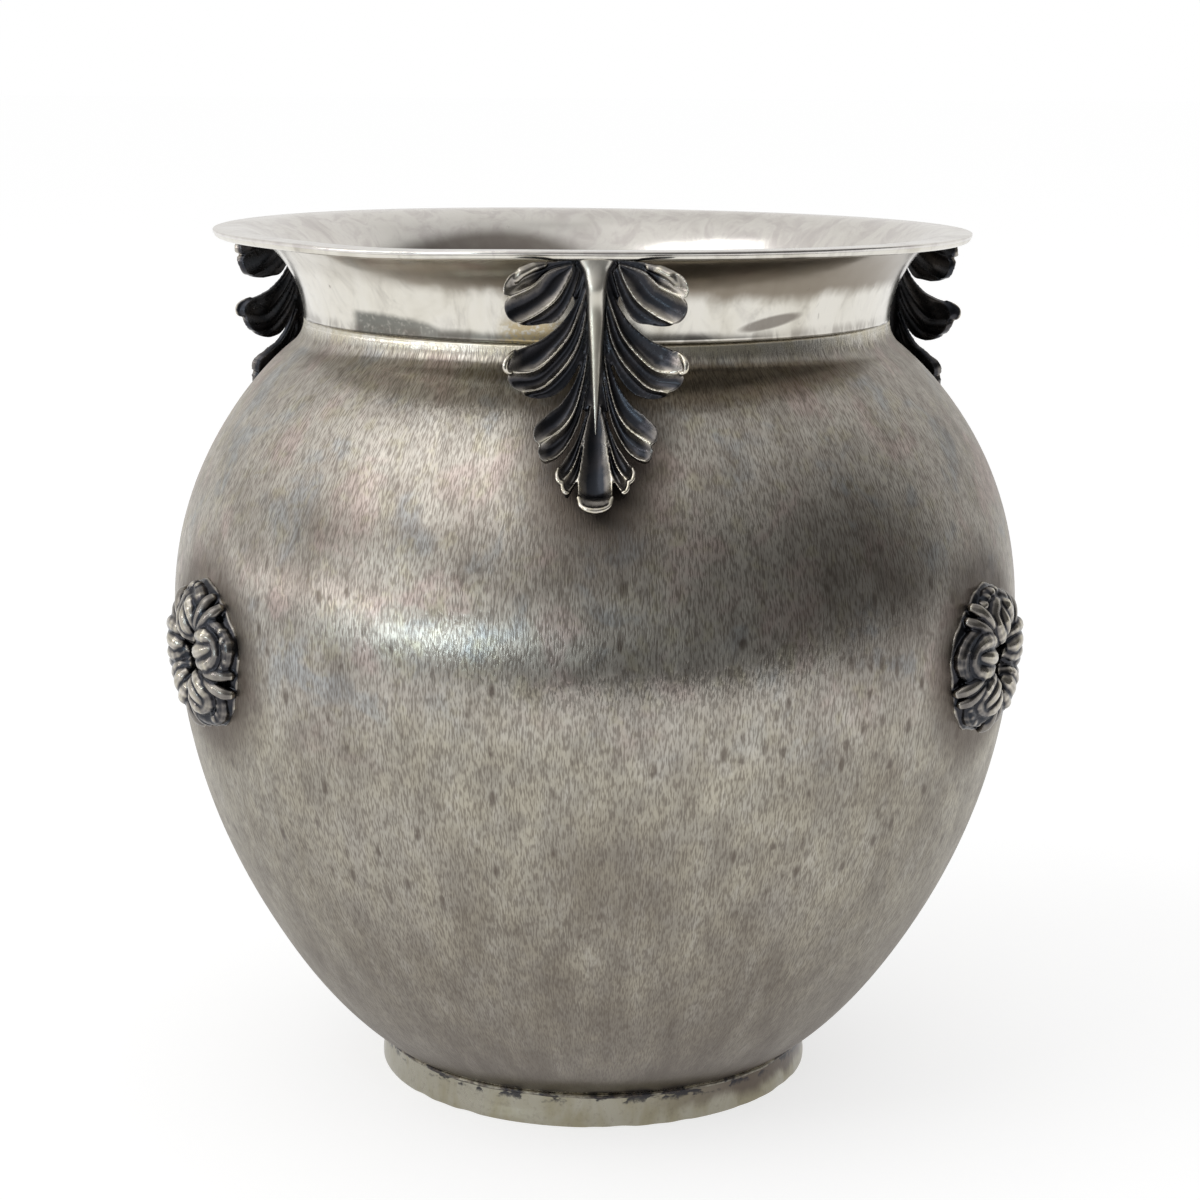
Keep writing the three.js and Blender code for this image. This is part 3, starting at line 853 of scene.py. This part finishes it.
def satin_silver():
    """Silver engraved with fine upright strokes, clouded with patina, painted shade and painted dark
    reflections.
    """
    m = Metal("satin_silver_engraved")
    x, y, z = m.x, m.y, m.z
    radius = m.most(m.calc("SQRT", m.squares(x, y)), 1)
    east, north = [m.times(m.calc("DIVIDE", way, radius), BELLY_RADIUS * 0.95) for way in (x, y)]
    along = m.attribute("along")

    def wrapped(stretch):
        """The place as if on an even cylinder, so that noise is as wide everywhere, and stretched upwards."""
        return m.vector(east, north, m.calc("DIVIDE", along, stretch))

    strokes = m.noise(wrapped(5.6), 2.6, 1)
    strokes_wide = m.noise(wrapped(4), 1.1, 1.5)
    patchy = m.noise(wrapped(1.8), 0.2, 3, 0.65)
    runs = m.noise(wrapped(3), 0.09, 3, 0.6)
    tints = m.noise(m.mm, 0.05, 3, 0.6, 0.4)
    tints_small = m.noise(m.mm, 0.16, 3, 0.6, 0.3)
    clouds = m.noise(m.mm, 0.022, 4, 0.55, 0.6)
    mottling = m.noise(m.mm, 0.11, 3, 0.6)

    # Distances round the belly: from the nearest rosette, from the nearest leaf and from a given direction.
    turn = m.calc("ARCTAN2", x, m.times(y, -1))
    arc = 2 * math.pi / COUNT * BELLY_RADIUS
    share = m.calc("PINGPONG", m.calc("DIVIDE", m.plus(turn, math.pi), 2 * math.pi / COUNT), 0.5)
    from_rosette = m.times(share, arc)
    from_leaf = m.times(m.minus(0.5, share), arc * 0.9)

    def away(sideways, height, squash=1):
        up = m.times(m.minus(z, height), squash)
        return m.plus(m.calc("SQRT", m.squares(sideways, up)), m.swing(runs, 14))

    def cloud(degrees, height, inner, outer, amount):
        sideways = m.times(m.minus(turn, math.radians(degrees)), BELLY_RADIUS)
        return m.remap(away(sideways, height), inner, outer, amount, 0)

    from_tip = away(from_leaf, leaf_top - 0.84 * LEAF_LENGTH, 0.75)
    # Random patina clouds, with painted shade and painted dark reflections laid into the same mask.
    tarnish_and_shade = m.most(
        m.remap(clouds, 0.45, 0.75, 0, 0.4),
        # Darker patches at the upper left, the right and low in front: painted dark reflections of the room,
        # partly patina.
        cloud(-39, 163, 6, 34, 0.42),
        cloud(38, 150, 8, 38, 0.5),
        cloud(3, 82, 6, 36, 0.52),
        # Painted shade round each rosette, partly patina.
        m.remap(away(from_rosette, ROSETTE_HEIGHT), 20, 37, 0.85, 0),
        # Painted shade round and under the tip of each leaf.
        m.remap(from_tip, 9, 28, 0.88, 0),
        # Painted shade on the shoulder, under the rim.
        m.remap(m.plus(z, m.swing(clouds, 40)), 182, 210, 0, 0.2),
        # Painted shade: darker towards the foot.
        m.remap(z, 12, 110, 0.8, 0, smooth=False),
    )
    tarnish_and_shade = m.plus(tarnish_and_shade, m.swing(runs, 0.8), clamp=True)

    ticks = m.cells(wrapped(2.3), 0.26)
    tick = m.times(
        m.remap(ticks["Distance"], 0.12, 0.34, 1, 0),
        m.remap(m.parts(ticks["Color"])[0], 0.38, 0.44),
        m.remap(mottling, 0.4, 0.52),
        m.remap(z, 55, 85),
        m.remap(z, 185, 150, 0.25, 1),
        0.75,
    )

    cut = m.remap(m.plus(m.times(strokes, 0.8), m.times(strokes_wide, 0.2)), 0.36, 0.6)
    by_foot = m.remap(m.plus(z, m.times(strokes_wide, 3)), 12.4, 11.2)
    by_neck = m.remap(m.plus(z, m.times(strokes, 7)), SEAM_HEIGHT - 2, SEAM_HEIGHT + 3)
    polished = m.most(by_foot, by_neck)
    rubbed = m.most(cloud(28, 76, 2, 20, 0.5), cloud(-29, 84, 6, 34, 0.6))
    # The lower half yellower and darker: partly its tone, partly painted shade.
    lower_tone_and_shade = m.remap(m.plus(z, m.swing(clouds, 60)), 138, 108)
    colour = m.layers(
        m.mix(m.remap(mottling, 0.3, 0.7), SATIN, SATIN_LIGHT),
        (m.remap(tints, 0.52, 0.66, 0, 0.8), SATIN_PINK),
        (m.remap(tints, 0.46, 0.34, 0, 0.8), SATIN_BLUE),
        (m.remap(tints_small, 0.5, 0.7, 0, 0.7), SATIN_GREEN),
        (lower_tone_and_shade, m.mix(m.remap(mottling, 0.35, 0.65), SATIN_YELLOW, SATIN_GREY)),
        (m.remap(patchy, 0.5, 0.72, 0, 0.32), PATINA_AND_SHADE),
        (m.remap(patchy, 0.48, 0.3, 0, 0.36), SATIN_BRIGHT),
        (m.times(rubbed, m.remap(runs, 0.35, 0.6)), SATIN_LIGHT),
        (tarnish_and_shade, PATINA_AND_SHADE),
        # Painted shade close round each leaf's tip, darkest there.
        (m.remap(from_tip, 3, 16, 0.8, 0), UNDER_LEAF_SHADE),
        (m.times(m.minus(1, cut), 0.6), PATINA_AND_SHADE),
        (tick, PATINA_AND_SHADE),
        # Painted shade just above the foot.
        (m.remap(z, 10, 26, 0.55, 0), PATINA_AND_SHADE),
        (polished, m.mix(m.remap(mottling, 0.35, 0.65), POLISHED, YELLOWED)),
    )
    rough = m.plus(m.plus(0.31, m.times(tarnish_and_shade, 0.1)), m.swing(mottling, 0.12))
    rough = m.minus(rough, m.times(polished, 0.12))
    normal = m.bump(m.times(cut, m.minus(1, by_foot)), 0.36, 0.07)
    upwards = m.add("Tangent", direction_type="RADIAL", axis="Z").outputs[0]
    return m.finish(colour, rough, normal, Anisotropic=0.86, Tangent=upwards)


def neck_films_and_reflections(m, smears, films, fine):
    """What lies on the neck's polish, in layers: films, smears and stains, with painted dark reflections and
    painted shade. The length along its outside starts at the seam.
    """
    x, y, along = m.x, m.y, m.attribute("along")
    in_front = m.remap(y, 0, -20)
    edge = m.minus(m.plus(along, m.swing(smears, 9)), m.remap(x, -70, 20, 4, 0))
    # A painted dark reflection: a brown band round the neck under the flare, strongest at the right.
    dark_reflection_band = m.times(
        m.remap(edge, REFLECTED_BAND_FROM, REFLECTED_BAND_FROM + 5),
        m.remap(along, FLARE_LENGTH + 2, FLARE_LENGTH),
        m.remap(x, -80, -10, 0.2, 0.92),
    )
    # A painted dark reflection: a grey patch low on the front left of the neck, near the seam.
    reach = m.plus(m.remap(x, -62, -22, 6.6, 2.6), m.swing(smears, 4))
    dark_reflection_patch = m.times(
        m.remap(along, m.minus(reach, 2), reach, 1, 0),
        m.remap(x, -61, -10, 0.95, 0.55),
        m.remap(x, -64, -61),
        m.remap(x, -2, -12),
        in_front,
        m.remap(fine, 0.2, 0.5, 0.6, 1),
    )
    seam = m.times(m.remap(along, 1.0, 3.5, 1, 0), m.remap(films, 0.4, 0.55, 0.1, 0.45))
    aside = m.calc("DIVIDE", m.minus(x, 44), 9)
    slanted = m.minus(m.calc("DIVIDE", m.minus(along, 4.5), 1.8), aside)
    smear = m.remap(m.squares(aside, slanted), 1.1, 0.4, 0, 0.75)
    smear = m.times(smear, m.remap(fine, 0.15, 0.35), in_front)
    burnt = m.times(m.remap(x, -26, -20), m.remap(x, -2, -10), m.remap(along, 4, 7, 0.8, 0),
                    m.remap(fine, 0.35, 0.55))
    inside_rim = m.remap(along, FLARE_LENGTH, FLARE_LENGTH + 3)
    shade = m.squares(m.calc("DIVIDE", m.plus(x, 33), 30), m.calc("DIVIDE", m.minus(m.z, 225), 9))
    shade = m.times(m.remap(m.calc("SQRT", shade), 1.15, 0.7, 0, 0.8), inside_rim, m.remap(y, 0, 20))
    return [
        (dark_reflection_band, REFLECTED_BROWN),
        (dark_reflection_patch, REFLECTED_GREY),
        (m.most(seam, smear), PATINA_AND_SHADE),
        (burnt, BURNT),
        (m.times(inside_rim, 0.7), m.mix(m.remap(films, 0.4, 0.62), GREYED, PURPLED)),
        (shade, PATINA_AND_SHADE),
    ]


def polished_silver(name, rough, yellow, stains, lines, on_neck=False):
    """Polished silver with spinning lines, fine scratches, smears and a few brown spots. On the neck, films,
    painted dark reflections and painted shade are laid over it.
    """
    m = Metal(name)
    smears = m.noise(m.scaled(m.mm, 1, 1, 0.6), 0.05, 4, 0.6, 0.8)
    films = m.noise(m.scaled(m.mm, 1, 1, 0.5), 0.11, 4, 0.65, 1.2)
    fine = m.noise(m.mm, 0.9, 3, 0.6)
    spun = m.noise(m.vector(0, 0, m.plus(m.z, m.attribute("along"))), 2.6)
    level = m.calc("ABSOLUTE", m.minus(m.noise(m.scaled(m.mm, 1, 1, 0.3), 0.16, 1), 0.5))
    scratch = m.times(m.remap(level, 0.0, 0.004, 1, 0), m.remap(m.noise(m.mm, 0.12), 0.56, 0.64))
    spots = m.cells(m.mm, 0.22)
    spot = m.times(
        m.remap(spots["Distance"], 0.06, 0.2, 1, 0),
        m.remap(m.parts(spots["Color"])[0], 0.72, 0.8),
        m.remap(fine, 0.45, 0.6, 0, stains),
    )
    colour = m.layers(
        m.mix(m.remap(smears, 0.35, 0.68, 0, yellow), POLISHED, YELLOWED),
        (m.remap(smears, 0.5, 0.72, 0, 0.25), PATINA_AND_SHADE),
        (m.remap(films, 0.48, 0.75, 0, 0.25), PATINA_AND_SHADE),
        (spot, PATINA_AND_SHADE),
        (m.times(scratch, 0.3), PATINA_AND_SHADE),
    )
    if on_neck:
        colour = m.layers(colour, *neck_films_and_reflections(m, smears, films, fine))
    roughness = m.plus(m.plus(rough, m.times(m.minus(smears, 0.45), 0.22)), m.times(spot, 0.3))
    height = m.plus(m.times(spun, lines), m.times(scratch, -0.5))
    waves = m.bump(m.noise(m.scaled(m.mm, 1, 1, 2.2), 0.045), 0.35, 0.6)
    return m.finish(colour, roughness, m.bump(height, 0.12, 0.05, Normal=waves))


def oxidised_silver():
    """Cast silver, blackened in the hollows and worn bright on the ridges."""
    m = Metal("oxidised_silver_cast")
    grain = m.noise(m.mm, 0.8, 3, 0.6)
    patches = m.noise(m.mm, 0.16, 3, 0.6)
    edge = m.plus(m.plus(m.attribute("wear"), m.swing(grain, 0.1)), m.swing(patches, 0.4))
    worn = m.remap(edge, 0.35, 1.05)
    colour = m.layers(
        m.mix(m.remap(patches, 0.35, 0.65), BLACKENED, DARK_PATINA),
        (m.remap(edge, 0.12, 0.45), BROWNED),
        (worn, m.mix(m.remap(grain, 0.35, 0.65), WORN_RIDGE, YELLOWED)),
    )
    rough = m.plus(m.remap(worn, 0, 1, 0.24, 0.1), m.times(grain, 0.08))
    return m.finish(colour, rough, m.bump(grain, 0.2, 0.1))


def foot_silver():
    """The foot strip's pale, slightly yellowed silver, with dark solder stains along the seam and painted
    shade on its right side.
    """
    m = Metal("foot_strip_silver")
    smears = m.noise(m.scaled(m.mm, 1, 1, 0.5), 0.09, 4, 0.6, 0.5)
    fine = m.noise(m.mm, 0.7, 3, 0.65)
    wide = m.noise(m.scaled(m.mm, 1, 1, 2), 0.13, 3, 0.6)
    seam = m.remap(m.plus(m.z, m.swing(fine, 3)), 6.2, 7.8)
    stain = m.times(seam, m.remap(m.plus(wide, m.remap(m.x, 8, 40, 0, 0.08)), 0.53, 0.58), 0.95)
    # Painted shade on the right side of the foot, strongest towards its top.
    shaded_right = m.times(m.remap(m.x, 8, 44, 0, 0.95), m.remap(m.plus(m.z, m.swing(smears, 9)), 2.4, 6))
    colour = m.layers(
        m.mix(m.remap(smears, 0.35, 0.65), FOOT_PALE, FOOT_YELLOW),
        (m.remap(fine, 0.5, 0.72, 0, 0.22), PATINA_AND_SHADE),
        (shaded_right, PATINA_AND_SHADE),
        (stain, DARK_PATINA),
    )
    return m.finish(colour, m.plus(0.3, m.swing(smears, 0.2)), m.bump(m.plus(fine, smears), 0.3, 0.15))


def solder():
    """The dark, lumpy line of solder where the foot meets the body."""
    m = Metal("solder_line")
    fine = m.noise(m.mm, 0.7, 3, 0.65)
    wide = m.noise(m.scaled(m.mm, 1, 1, 2), 0.13, 3, 0.6)
    colour = m.mix(m.remap(wide, 0.42, 0.52, 0.55, 1), YELLOWED, DARK_PATINA)
    colour = m.mix(m.remap(fine, 0.4, 0.6, 0, 0.6), colour, PATINA_AND_SHADE)
    return m.finish(colour, 0.42, m.bump(fine, 0.5, 0.3))


def inner_silver():
    """The undecorated inside: dull, with planishing marks and brown patina."""
    m = Metal("inner_silver")
    clouds = m.noise(m.mm, 0.03, 4, 0.6, 0.5)
    marks = m.cells(m.mm, 0.11, 0.9)["Distance"]
    fine = m.noise(m.mm, 0.6, 3, 0.6)
    colour = m.mix(m.remap(clouds, 0.35, 0.7, 0.1, 0.75), SATIN_LIGHT, PATINA_AND_SHADE)
    colour = m.mix(m.remap(fine, 0.4, 0.7, 0, 0.25), colour, YELLOWED)
    normal = m.bump(m.plus(marks, m.times(fine, 0.1)), 0.3, 0.35)
    return m.finish(colour, m.plus(0.34, m.times(clouds, 0.12)), normal)


neck_finish = polished_silver("polished_silver_spun", 0.17, 0.35, 0.5, 0.3, on_neck=True)
cast_finish = oxidised_silver()
for piece, finish in (
    (raised_body, satin_silver()),
    (raised_body, inner_silver()),
    (spun_neck, neck_finish),
    (edge_wire, neck_finish),
    (foot_strip, foot_silver()),
    (foot_solder, solder()),
    (leaf, cast_finish),
    (rosettes[0], cast_finish),
    (vein, polished_silver("polished_silver_vein", 0.34, 0.6, 0.4, 0.0)),
):
    piece.data.materials.append(finish)

dressed = [
    (raised_body, "body_shell", "satin_silver"),
    (spun_neck, "neck_and_rim", "polished_silver"),
    (edge_wire, "rim_wire", "polished_silver"),
    (foot_strip, "foot_ring", "polished_silver"),
]
for i in range(COUNT):
    dressed += [
        (leaves[i], f"acanthus_leaf_{i + 1}", "oxidised_silver"),
        (veins[i], f"leaf_vein_{i + 1}", "polished_silver"),
        (rosettes[i], f"rosette_{i + 1}", "oxidised_silver"),
    ]
for piece, node, slot in dressed:
    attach(piece, "root")
    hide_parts(node)
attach(foot_solder, "root")


FLOOR_HALF = 30
FLOOR_GLOW = 0.665
FLOOR_PAINT = 0.5
TABLE_REACH = 0.66


def pale_floor():
    """A floor that is white to the camera and metal. Past the table's front edge, metal sees a dim room."""
    material = bpy.data.materials.new("pale_floor")
    m = Nodes(material)
    path = m.add("LightPath").outputs
    seen = m.most(path["Is Camera Ray"], path["Is Glossy Ray"], path["Is Transmission Ray"])
    paint = m.made("BsdfDiffuse", (FLOOR_PAINT, FLOOR_PAINT, FLOOR_PAINT))
    glow = m.made("Emission", (1, 1, 1), m.times(seen, FLOOR_GLOW))
    table = m.made("AddShader", paint, glow)
    x, y, _ = m.parts(m.add("TexCoord").outputs["Object"])
    dim_room = m.made("BsdfDiffuse", m.remap(x, -0.55, -0.1, 0.5, 0.13))
    beyond = m.times(path["Is Glossy Ray"], m.remap(y, 0.1 - TABLE_REACH, -0.14 - TABLE_REACH))
    m.named("OutputMaterial", Surface=m.made("MixShader", beyond, table, dim_room))
    return material


edge = FLOOR_HALF / MM
floor_corners = [(-edge, -edge, TABLE), (edge, -edge, TABLE), (edge, edge, TABLE), (-edge, edge, TABLE)]
floor = mesh_object("floor", floor_corners, [(0, 1, 2, 3)], smooth=False)
floor.data.materials.append(pale_floor())

# What metal sees of the room, white being 1: levels by the direction round the object, in degrees from the
# front towards the right, low down and overhead. A white backdrop is behind, a light room at the left and a
# dim one in front and at the right.
LOW = [(-180, 0.85), (-120, 0.9), (-95, 1.0), (-60, 1.05), (-36, 1.0), (-18, 0.5), (5, 0.33), (26, 0.16),
       (98, 0.12), (108, 0.5), (120, 0.9), (135, 0.9), (180, 0.85)]
OVERHEAD = [(-180, 0.8), (-90, 0.9), (-30, 0.95), (40, 0.7), (90, 0.6), (180, 0.8)]
PLAIN_LIGHT = 0.66


def studio():
    """White to the camera, a room by direction to metal, and plain light on everything."""
    world = bpy.data.worlds.new("studio")
    m = Nodes(world)
    x, y, z = m.parts(m.add("TexCoord").outputs["Generated"])
    turn = m.calc("ARCTAN2", x, m.times(y, -1))
    turn = m.calc("DIVIDE", m.plus(turn, math.pi), 2 * math.pi)

    def levels(stops):
        ramp = m.add("ValToRGB")
        ramp.color_ramp.interpolation = "EASE"
        elements = ramp.color_ramp.elements
        while len(elements) < len(stops):
            elements.new(0.5)
        for element, (degrees, level) in zip(elements, stops):
            element.position = (degrees + 180) / 360
            element.color = (level, level * 0.99, level * 0.97, 1)
        m.feed(ramp.inputs[0], turn)
        return ramp.outputs[0]

    room = m.made("Background", m.mix(m.remap(z, 0.45, 0.9), levels(LOW), levels(OVERHEAD)))
    plain = m.made("Background", (1, 1, 1), PLAIN_LIGHT)
    white = m.made("Background", (1, 1, 1))
    path = m.add("LightPath").outputs
    in_metal = m.most(path["Is Glossy Ray"], path["Is Transmission Ray"])
    around = m.made("MixShader", in_metal, plain, room)
    shown = m.made("MixShader", path["Is Camera Ray"], around, white)
    m.named("OutputWorld", Surface=shown)
    return world


bpy.context.scene.world = studio()

OBJECT_MIDDLE = Vector((0, 0, 0.12))
LAMP_DISTANCE = 2.4
PANE_ROLL = -16


def softbox(name, azimuth, elevation, distance, width, height, brightness, roll=0, colour=(1, 1, 1)):
    """An area light of a given brightness, where 1 is as bright as white paper in plain light."""
    lamp = bpy.data.lights.new(name, "AREA")
    lamp.shape = "RECTANGLE"
    lamp.size = width
    lamp.size_y = height
    lamp.energy = brightness * math.pi * width * height
    lamp.color = colour
    thing = placed(name, lamp)
    a, e = math.radians(azimuth), math.radians(elevation)
    direction = Vector((math.sin(a) * math.cos(e), -math.cos(a) * math.cos(e), math.sin(e)))
    thing.location = OBJECT_MIDDLE + direction * distance
    aim = (-direction).to_track_quat("-Z", "Y").to_matrix() @ Matrix.Rotation(math.radians(roll), 3, "Z")
    thing.rotation_euler = aim.to_euler()


softbox("window_right_pane", -42, 2, LAMP_DISTANCE, 0.6, 0.2, 12, PANE_ROLL, (0.78, 0.94, 1.0))
softbox("window_left_pane", -76, 7, LAMP_DISTANCE, 0.5, 0.16, 11, PANE_ROLL, (1.0, 0.95, 0.96))
softbox("window_top_pane", -64, 17, LAMP_DISTANCE, 0.6, 0.16, 5, PANE_ROLL, (0.88, 0.97, 1.0))
softbox("soft_top_left", -60, 46, 2.6, 2.0, 1.5, 1.3)

CAMERA_PLACE = (0.0013, -0.72395, 0.28101)
CAMERA_TILT = 78.522
CAMERA_ROLL = 0.3
FOCAL_LENGTH = 77.754
SENSOR_WIDTH = 36
lens = bpy.data.cameras.new("camera")
lens.lens = FOCAL_LENGTH
lens.sensor_width = SENSOR_WIDTH
lens.sensor_fit = "HORIZONTAL"
camera = placed("camera", lens)
camera.location = CAMERA_PLACE
tilt = Matrix.Rotation(math.radians(CAMERA_TILT), 4, "X")
roll = Matrix.Rotation(math.radians(CAMERA_ROLL), 4, "Z")
camera.rotation_euler = (tilt @ roll).to_euler()
bpy.context.scene.camera = camera
bpy.context.scene.view_settings.view_transform = "Standard"

bpy.context.view_layer.update()
